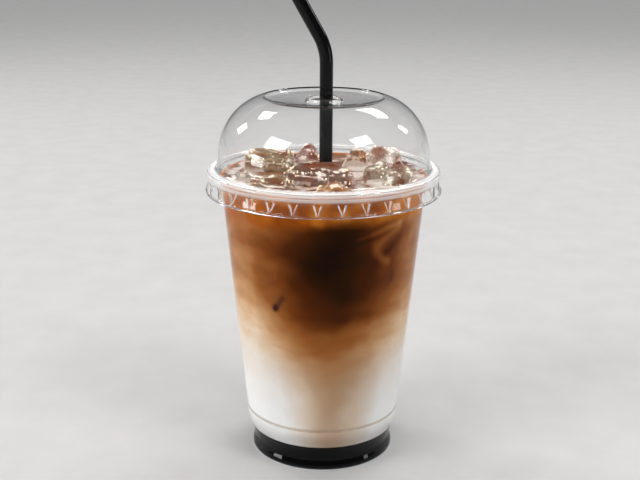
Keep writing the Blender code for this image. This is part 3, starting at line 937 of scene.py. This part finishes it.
def scatter_tree():
    """Balls scattered under a surface: named inputs for their size, number, depth and seed."""
    tree, given = geometry_tree("ice_bubbles", {
        "Radius": BUBBLE_RADIUS, "Density": BUBBLE_DENSITY, "Sink": BUBBLE_SINK, "Seed": BUBBLE_SEED,
        "Finish": None})
    place = add_node(tree, "GeometryNodeInputPosition").outputs[0]
    crowd = remap(tree, clouds(tree, place, CLUSTER_SIZE, 2.0)["Fac"], 0.48, 0.62)
    points = add_node(tree, "GeometryNodeDistributePointsOnFaces", {
        "Mesh": given["Geometry"], "Density": times(tree, given["Density"], crowd), "Seed": given["Seed"]})
    sink = random_value(tree, *SINK_RANGE, given["Seed"])
    offset = scaled(tree, points.outputs["Normal"], times(tree, sink, given["Sink"], -1.0))
    sunk = add_node(tree, "GeometryNodeSetPosition", {
        "Geometry": points.outputs["Points"], "Offset": offset})
    ball = add_node(tree, "GeometryNodeMeshIcoSphere", {"Radius": given["Radius"], "Subdivisions": 1})
    spread = random_value(tree, 0.0, 1.0, plus(tree, given["Seed"], 1))
    growth = times(tree, maths(tree, "POWER", spread, LARGE_RARITY), LARGE_EXTRA)
    size = plus(tree, growth, SMALLEST_SHARE)
    placed = add_node(tree, "GeometryNodeInstanceOnPoints", {
        "Points": sunk.outputs[0], "Instance": ball.outputs["Mesh"], "Scale": size})
    return close_tree(tree, placed.outputs[0], given["Finish"])


def painted_bubble_glint():
    """Painted glints: bubbles mirror the lamps from all sides, so they are painted as bright specks."""
    material, tree, shader, place = new_material("painted_bubble_glint")
    cloud = clouds(tree, place, 3 * MM, 2.0)["Fac"]
    tone = ramp(tree, cloud, [(0.4, shade(250, 222, 180)), (0.6, shade(252, 250, 246))])
    fill(tree, shader, {"Base Color": tone, "Roughness": 0.15})
    return material


def make_ice_bubbles():
    """One piece for all the bubbles, from the upward faces of every block."""
    points, faces = [], []
    for block in ice_blocks:
        base = len(points)
        points += [vertex.co[:] for vertex in block.data.vertices]
        faces += [[base + index for index in face.vertices] for face in block.data.polygons
                  if face.normal.z > 0.1 and face.center.z > LOWEST_BUBBLE]
    mesh = bpy.data.meshes.new("ice_bubbles")
    mesh.from_pydata(points, [], faces)
    bubbles = run_tree(add_mesh("ice_bubbles", mesh), scatter_tree(), {"Finish": painted_bubble_glint()})
    bubbles.data.shade_smooth()
    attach(bubbles, "root")
    print("bubbles:", len(bubbles.data.polygons) // BALL_FACES, "balls")


make_ice_bubbles()

# %% [markdown]
# ## The drink
# Milk and coffee fill the cup without a hard border, so one piece stands for both layers. Its side
# reaches just into the plastic wall, because a gap of air there would shine like a mirror. It is
# turned like the cup, with many fine rings on its top, whose points are then lifted or sunk: the
# surface climbs a little at the wall and at each block, and dips to a pit inside a block, so that
# looking into the ice shows deeper coffee, which the top's material darkens with painted shade.

# %% Drink shape
DRINK_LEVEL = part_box("coffee_layer")[1].z
DRINK_BITE = 0.15 * MM
DRINK_CORNER = 0.6 * MM
DRINK_SIDES = 320
TOP_RINGS = 90
MENISCUS_RISE = 0.7 * MM
MENISCUS_REACH = 1.4 * MM
PIT_SLOPE = 2.2
PIT_DEPTH = 9.0 * MM
SWELL_SIZE = 6.0 * MM
SWELL_RISE = 0.12 * MM


def drink_radius(height):
    return wall_radius(height) - CUP_WALL + DRINK_BITE


def surface_height(x, y, rim, trees):
    """Height of the drink's top at a place: level, climbing at edges, sinking inside the ice."""
    spot = Vector((x, y, DRINK_LEVEL))
    rise = MENISCUS_RISE * math.exp(-(rim - math.hypot(x, y)) / MENISCUS_REACH)
    for tree in trees:
        near, normal, _, gap = tree.find_nearest(spot)
        if (spot - near).dot(normal) < 0:
            return DRINK_LEVEL + MENISCUS_RISE / 2 - min(gap * PIT_SLOPE, PIT_DEPTH)
        rise += MENISCUS_RISE * math.exp(-gap / MENISCUS_REACH)
    return DRINK_LEVEL + min(rise, MENISCUS_RISE * 1.3) + SWELL_RISE * noise.noise(spot / SWELL_SIZE)


def turned_drink():
    """One closed skin: fine rings on top, side down the wall, rounded corner and flat bottom."""
    trees = [BVHTree.FromPolygons([v.co for v in block.data.vertices],
                                  [p.vertices for p in block.data.polygons]) for block in ice_blocks]
    rim = drink_radius(DRINK_LEVEL)
    top = [(rim * ring / TOP_RINGS, DRINK_LEVEL) for ring in range(TOP_RINGS + 1)]
    heights = [DRINK_LEVEL - DRINK_CORNER - (DRINK_LEVEL - SHOULDER_HEIGHT) * i / 40 for i in range(40)]
    heights += [SHOULDER_HEIGHT - (SHOULDER_HEIGHT - FLOOR_TOP - FLOOR_CORNER) * i / 10 for i in range(11)]
    side = [(drink_radius(z), z) for z in heights]
    low = (side[-1][0] - FLOOR_CORNER, FLOOR_TOP + FLOOR_CORNER - DRINK_BITE)
    side += arc(low, (FLOOR_CORNER, FLOOR_CORNER), -10, -90, 6)
    drink = turned("drink", [*top, *side, (0.0, side[-1][1])], DRINK_SIDES)
    for vertex in drink.data.vertices:
        if vertex.co.z > DRINK_LEVEL - DRINK_CORNER / 2:
            vertex.co.z = surface_height(vertex.co.x, vertex.co.y, rim, trees)
    return drink


print("drink level at", round(DRINK_LEVEL / MM, 1), "mm")

# %% [markdown]
# ### Colour of the drink
# Think of one number, milkiness, from 0 for black coffee to 1 for milk. It grows downwards, and away
# from the darkest side partly with the coffee and partly as painted light and shade; noise bends every
# border. Three colour ramps read it or a noise: the coffee, whose browns run through tan, the milk,
# whose stains and painted shade stay greyer, and the amber band just under the surface, where light
# gets in. Listed streaks finish it: a swirl of thin strands, a furrow beside it, and dark marks where sunken
# ice touches the wall.

# %% Drink colours
DARK_SIDE = 7
BLUNTNESS = 0.16
WARP_SIZE = 30.0 * MM
WARP_REACH = 5.0 * MM
WISP_SIZE = 9.0 * MM
WISP_REACH = 2.6 * MM
VEIL_SIZE = 9.0 * MM
VEIL_STRENGTH = 0.055
# Paler sides and the greyer plume in the milk: partly the coffee, partly painted light and shade.
SIDE_MILK_AND_PAINTED_LIGHT = (0.48, 0.63)
SIDE_HEIGHTS = (64 * MM, 80 * MM)
WIDEST_TURN = 0.8
PLUME_HALF_WIDTH = math.radians(30)
PLUME_MILKINESS = 0.72
CLEARER_BELOW = (60 * MM, 12 * MM, 0.0, 0.35)
MILK_BELOW = (62 * MM, 38 * MM)
COFFEE_BROWNS = [
    (0.0, shade(19, 2, 0)), (0.1, shade(40, 13, 0)), (0.2, shade(69, 28, 3)), (0.32, shade(105, 52, 13)),
    (0.47, shade(143, 86, 39)), (0.57, shade(165, 115, 70)), (0.65, shade(182, 136, 92)),
    (0.73, shade(198, 160, 122)), (0.83, shade(210, 184, 154)), (0.93, shade(218, 208, 196)),
    (1.0, shade(222, 222, 222)),
]
MILK_STAINS_AND_SHADE = [
    (0.0, shade(156, 115, 78)), (0.25, shade(174, 145, 117)), (0.5, shade(200, 180, 160)),
    (0.75, shade(214, 204, 194)), (1.0, shade(227, 227, 226)),
]
CUP_SCALE = 130
COFFEE_BY_HEIGHT = [
    (11, 0.66), (40, 0.56), (52, 0.52), (60, 0.46), (69, 0.33), (78, 0.13), (90, 0.03), (104, 0.0),
    (112, 0.08), (130, 0.12),
]
AMBERS = [(0.3, shade(124, 48, 0)), (0.5, shade(156, 78, 8)), (0.7, shade(190, 118, 36))]
AMBER_SIZE = 14.0 * MM
AMBER_BAND = (111 * MM, 117 * MM)
AMBER_DROP = 6 * MM
FLOOR_SHADE = shade(74, 56, 40)
FLOOR_SHADE_BELOW = (21 * MM, 13 * MM)
FLOOR_SHADE_STRENGTH = 0.22

# %% [markdown]
# A streak is given by two points of the wall, each an angle to the right of the front and a height
# in millimetres, then by its half width and its softness. The marks have a strength too.

# %% Streaks
SWIRL_REACH = 1.5 * MM
SWIRL_STRENGTH = 0.18
SWIRL_STRANDS = [
    ((47, 111), (28.5, 107.5), 1.0, 1.8), ((28.5, 107.5), (19, 106), 0.3, 1.4),
    ((46, 109.5), (32.5, 102.5), 1.8, 2.2), ((32.5, 102.5), (32, 99.5), 2.2, 2.2),
    ((32, 99.5), (39, 95), 1.6, 2.2),
]
FURROW = ((48.5, 104), (37.5, 98.5), 0.8, 1.6)
FURROW_STRENGTH = 0.08
ICE_MARK = shade(50, 20, 22)
ICE_MARKS = [
    (1.0, (-29.5, 75.8), (-30, 75.2), 1.6, 0.9), (0.85, (-24.5, 80.2), (-30, 75.5), 1.2, 1.2),
    (0.6, (45, 89.5), (44.5, 86), 0.7, 1.4),
]


def on_wall(turn, height):
    """A point on the cup's wall, from its angle to the right of the front and its height in mm."""
    radius, angle = wall_radius(height * MM), math.radians(turn)
    return Vector((radius * math.sin(angle), -radius * math.cos(angle), height * MM))


def streak(tree, place, start, stop, width, softness):
    """1 along a line between two points of the wall, fading to 0 past its width."""
    first = on_wall(*start)
    run = on_wall(*stop) - first
    from_first = vectors(tree, "SUBTRACT", place, tuple(first))
    reach = vectors(tree, "DOT_PRODUCT", from_first, tuple(run))
    share = maths(tree, "DIVIDE", reach, run.length_squared, clamp=True)
    gap = vectors(tree, "DISTANCE", from_first, scaled(tree, tuple(run), share))
    return remap(tree, gap, (width + softness) * MM, max(width - softness, 0.0) * MM)


def height_curve(tree, height):
    """Milkiness of the coffee at each height, read from a float curve."""
    item = add_node(tree, "ShaderNodeFloatCurve", {"Value": maths(tree, "DIVIDE", height, CUP_SCALE * MM)})
    curve = item.mapping.curves[0]
    points = [(z / CUP_SCALE, value) for z, value in COFFEE_BY_HEIGHT]
    while len(curve.points) < len(points):
        curve.points.new(0.5, 0.5)
    for point, place in zip(curve.points, points):
        point.location = place
    item.mapping.update()
    return item.outputs[0]


def warped(tree, place, size, reach, detail):
    """Shift a position by noise, so that borders in the drink curl."""
    centred = vectors(tree, "SUBTRACT", clouds(tree, place, size, detail)["Color"], (0.5, 0.5, 0.5))
    return vectors(tree, "ADD", place, scaled(tree, centred, 2 * reach))


print(len(SWIRL_STRANDS), "strands in the swirl and", len(ICE_MARKS), "marks of ice")


# %% Drink body
def turn_from_dark_side(tree, place):
    """Angle round the cup from its darkest side, 0 there and behind it, largest at the sides."""
    axis = (math.sin(math.radians(DARK_SIDE)), -math.cos(math.radians(DARK_SIDE)), 0.0)
    facing = vectors(tree, "DOT_PRODUCT", vectors(tree, "NORMALIZE", flat(tree, place)), axis)
    turn = maths(tree, "ARCCOSINE", facing)
    nearer = maths(tree, "SMOOTH_MIN", turn, minus(tree, math.pi, turn), 0.3)
    blunt = maths(tree, "SQRT", maths(tree, "MULTIPLY_ADD", nearer, nearer, BLUNTNESS**2))
    return minus(tree, blunt, BLUNTNESS)


def coffee_colour(tree, place, bent, turn, height):
    """Brown of the coffee: paler downwards, and to the sides partly with milk and partly as painted light,
    with a veil and a swirl in it.
    """
    paler = remap(tree, height, *SIDE_HEIGHTS, *SIDE_MILK_AND_PAINTED_LIGHT)
    aside = times(tree, maths(tree, "MINIMUM", turn, WIDEST_TURN), paler)
    layers = add_node(tree, "ShaderNodeMapping", {"Vector": bent, "Scale": (0.5, 0.5, 1.3)}).outputs[0]
    veil = clouds(tree, layers, VEIL_SIZE, 5.0)["Fac"]
    cloudy = remap(tree, veil, 0.25, 0.75, -VEIL_STRENGTH, VEIL_STRENGTH)
    curl = warped(tree, place, WISP_SIZE, SWIRL_REACH, 4.0)
    swirl = maths(tree, "MAXIMUM", *[streak(tree, curl, *strand) for strand in SWIRL_STRANDS])
    furrow = times(tree, streak(tree, curl, *FURROW), FURROW_STRENGTH)
    change = minus(tree, times(tree, swirl, SWIRL_STRENGTH), furrow)
    milkiness = plus(tree, height_curve(tree, height), aside, cloudy, change, clamp=True)
    return ramp(tree, milkiness, COFFEE_BROWNS)


def milk_colour(tree, turn, height):
    """White of the milk, stained by the plume of coffee that sinks into it on the dark side and greyed there
    by painted shade.
    """
    plume = maths(tree, "DIVIDE", turn, PLUME_HALF_WIDTH, clamp=True)
    clearer = remap(tree, height, *CLEARER_BELOW)
    return ramp(tree, plus(tree, times(tree, plume, PLUME_MILKINESS), clearer, clamp=True), MILK_STAINS_AND_SHADE)


def body_colour(tree, place):
    """Colour of the drink anywhere on its side, from the place alone."""
    bent = warped(tree, warped(tree, place, WARP_SIZE, WARP_REACH, 1.0), WISP_SIZE, WISP_REACH, 5.0)
    turn, height = turn_from_dark_side(tree, bent), split(tree, bent)[2]
    coffee = coffee_colour(tree, place, bent, turn, height)
    colour = blend_colour(tree, remap(tree, height, *MILK_BELOW), coffee, milk_colour(tree, turn, height))
    cloud = clouds(tree, bent, AMBER_SIZE, 2.0)["Fac"]
    lowered = maths(tree, "MULTIPLY_ADD", turn, AMBER_DROP, height)
    band = times(tree, remap(tree, lowered, *AMBER_BAND), remap(tree, cloud, 0.3, 0.6, 0.55, 1.0))
    colour = blend_colour(tree, band, colour, ramp(tree, cloud, AMBERS))
    shaded = times(tree, remap(tree, height, *FLOOR_SHADE_BELOW), FLOOR_SHADE_STRENGTH)
    colour = blend_colour(tree, shaded, colour, FLOOR_SHADE)
    marks = [times(tree, strength, streak(tree, place, *mark)) for strength, *mark in ICE_MARKS]
    return blend_colour(tree, maths(tree, "MAXIMUM", *marks), colour, ICE_MARK)


def side_material():
    """The drink against the plastic: no air lies between them, so it has no gloss of its own."""
    material, tree, shader, place = new_material("latte_side")
    fill(tree, shader, {
        "Base Color": body_colour(tree, place), "Specular IOR Level": 0.0, "Roughness": 0.6})
    return material


# %% [markdown]
# The top is the same drink seen in the open: glossy and brown, with painted shade that makes it nearly
# black down in the pits under the ice, and with pale patches in the channels between the blocks, partly a
# froth of fine bubbles and partly painted reflection.
# Noise puts most of the froth and painted reflection where it is, and two spots where it gathers are listed.

# %% Drink surface
SURFACE_TONES_AND_PIT_SHADE = [
    (0.0, shade(28, 13, 7)), (0.45, shade(54, 29, 15)), (0.8, shade(84, 48, 24)), (1.0, shade(100, 58, 29)),
]
# Pale patches between the blocks: partly froth, partly painted reflection of the lamps.
FROTH_AND_REFLECTION = shade(206, 199, 193)
FROTH_AND_REFLECTION_SIZE = 10.0 * MM
FROTH_BUBBLE = 0.9 * MM
FROTH_AND_REFLECTION_SPOTS = [(-21, 19, 11), (15, 12, 6)]
COFFEE_IOR = 1.34


def top_material():
    material, tree, shader, place = new_material("latte_top")
    height = split(tree, place)[2]
    # Painted shade: the deeper the surface lies in a pit under the ice, the darker it is painted.
    tone = ramp(tree, remap(tree, height, DRINK_LEVEL - 7 * MM, DRINK_LEVEL + 0.3 * MM), SURFACE_TONES_AND_PIT_SHADE)
    bubbles = add_node(tree, "ShaderNodeTexVoronoi", {"Vector": place, "Scale": 1 / FROTH_BUBBLE})
    bubble = bubbles.outputs["Distance"]
    # Pale patches: partly froth, partly painted reflection, spread by noise and at two given spots.
    froth_and_reflection = remap(tree, clouds(tree, place, FROTH_AND_REFLECTION_SIZE, 3.0)["Fac"], 0.43, 0.6)
    for x, y, radius in FROTH_AND_REFLECTION_SPOTS:
        gap = vectors(tree, "DISTANCE", place, (x * MM, y * MM, DRINK_LEVEL))
        froth_and_reflection = maths(tree, "MAXIMUM", froth_and_reflection, remap(tree, gap, 1.2 * radius * MM, 0.5 * radius * MM))
    afloat = remap(tree, height, DRINK_LEVEL - 1.0 * MM, DRINK_LEVEL + 0.1 * MM)
    froth_and_reflection = times(tree, froth_and_reflection, afloat, remap(tree, bubble, 0.1, 0.5, 1.0, 0.6))
    fill(tree, shader, {
        "Base Color": blend_colour(tree, froth_and_reflection, tone, FROTH_AND_REFLECTION), "Roughness": 0.07, "IOR": COFFEE_IOR,
        "Normal": bump_from(tree, bubble, 0.03 * MM)})
    return material


def make_drink():
    drink = turned_drink()
    drink.data.materials.append(side_material())
    drink.data.materials.append(top_material())
    rim = drink_radius(DRINK_LEVEL) - DRINK_CORNER
    for face in drink.data.polygons:
        high = face.normal.z > 0.0 and face.center.z > NECK_HEIGHT - 2 * PIT_DEPTH
        face.material_index = 1 if high and face.center.xy.length < rim else 0
    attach(drink, "root")
    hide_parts("milk_layer", "coffee_layer")
    print("drink:", len(drink.data.polygons), "faces")


make_drink()

# %% [markdown]
# ## Studio
# Clear plastic is drawn by what it mirrors, so the lamps are placed for their reflections. Two large
# softboxes stand in front, left and right of the camera, two slim ones behind, and a small one at
# each side. Two low ones only put a glint on the foot, so they light nothing else. Each is given by
# its bearing, its height above the horizon and how wide and tall it looks from the drink, all in
# degrees, and then by its strength. A broad overhead light keeps the pale floor even.

# %% Lamps
LAMP_DISTANCE = 1.6
LAMP_RADIANCE = 11.5
SOFTBOXES = {
    "front_left": (-121, 34, 25, 18, 0.85), "front_right": (128, 43, 20, 16, 1.0),
    "back_left": (-46, 46, 15, 10, 1.0), "back_right": (36, 47, 22, 10, 1.0),
    "side_left": (-58, 24, 9, 11, 1.0), "side_right": (61, 27, 6, 11, 1.0),
    "low_left": (-106, 4, 16, 14, 1.0), "low_right": (107, 4, 8, 14, 0.5),
}
OVERHEAD_STRENGTH = 1.95
OVERHEAD_SPREAD = math.radians(70)
TARGET = Vector((0.0, 0.0, 140 * MM))


def add_lamp(name, kind, way, distance):
    lamp = bpy.data.objects.new(name, bpy.data.lights.new(name, kind))
    bpy.context.scene.collection.objects.link(lamp)
    lamp.location = TARGET + way * distance
    lamp.rotation_euler = way.to_track_quat("Z", "Y").to_euler()
    return lamp


def softbox(name, bearing, rise, width, height, strength):
    lamp = add_lamp(name, "AREA", compass(bearing, rise), LAMP_DISTANCE)
    lamp.data.shape = "RECTANGLE"
    lamp.data.size = 2 * LAMP_DISTANCE * math.tan(math.radians(width / 2))
    lamp.data.size_y = 2 * LAMP_DISTANCE * math.tan(math.radians(height / 2))
    lamp.data.energy = LAMP_RADIANCE * strength * math.pi * lamp.data.size * lamp.data.size_y
    lamp.visible_diffuse = not name.startswith("low")


for label, look in SOFTBOXES.items():
    softbox(label, *look)
overhead = add_lamp("overhead", "SUN", Vector((0.0, 0.0, 1.0)), 2.0)
overhead.data.energy = OVERHEAD_STRENGTH
overhead.data.angle = OVERHEAD_SPREAD
overhead.visible_glossy = False
overhead.visible_transmission = False
print(len(SOFTBOXES), "softboxes and an overhead light")

# %% [markdown]
# The floor is a plain pale sheet, wide enough to fill the picture. The surroundings are dim grey, a
# little brighter at the horizon, which leaves dark lines along the edges of the clear plastic.

# %% Floor and surroundings
FLOOR_SIZE = 9.0
FLOOR_GRAIN = 25 * MM
FLOOR_TONES = [(0.3, (0.455, 0.45, 0.445)), (0.7, (0.485, 0.48, 0.475))]
HORIZON = (0.2, 0.2, 0.21)
SKY = (0.12, 0.12, 0.125)


def make_floor():
    mesh = bpy.data.meshes.new("floor")
    half = FLOOR_SIZE / 2
    corners = [(-half, -half, 0), (half, -half, 0), (half, half, 0), (-half, half, 0)]
    mesh.from_pydata(corners, [], [(0, 1, 2, 3)])
    material, tree, shader, place = new_material("pale_floor")
    tone = ramp(tree, clouds(tree, place, FLOOR_GRAIN, 4.0)["Fac"], FLOOR_TONES)
    fill(tree, shader, {"Base Color": tone, "Roughness": 0.7, "Specular IOR Level": 0.0})
    add_mesh("floor", mesh, material)


def make_surroundings():
    world = bpy.data.worlds.new("studio")
    bpy.context.scene.world = world
    world.use_nodes = True
    tree = world.node_tree
    way = tree.nodes.new("ShaderNodeTexCoord").outputs["Generated"]
    tone = ramp(tree, split(tree, way)[2], [(0.0, HORIZON), (0.3, SKY), (1.0, SKY)])
    fill(tree, tree.nodes["Background"], {"Color": tone})


make_floor()
make_surroundings()
bpy.context.scene.view_settings.view_transform = "Standard"
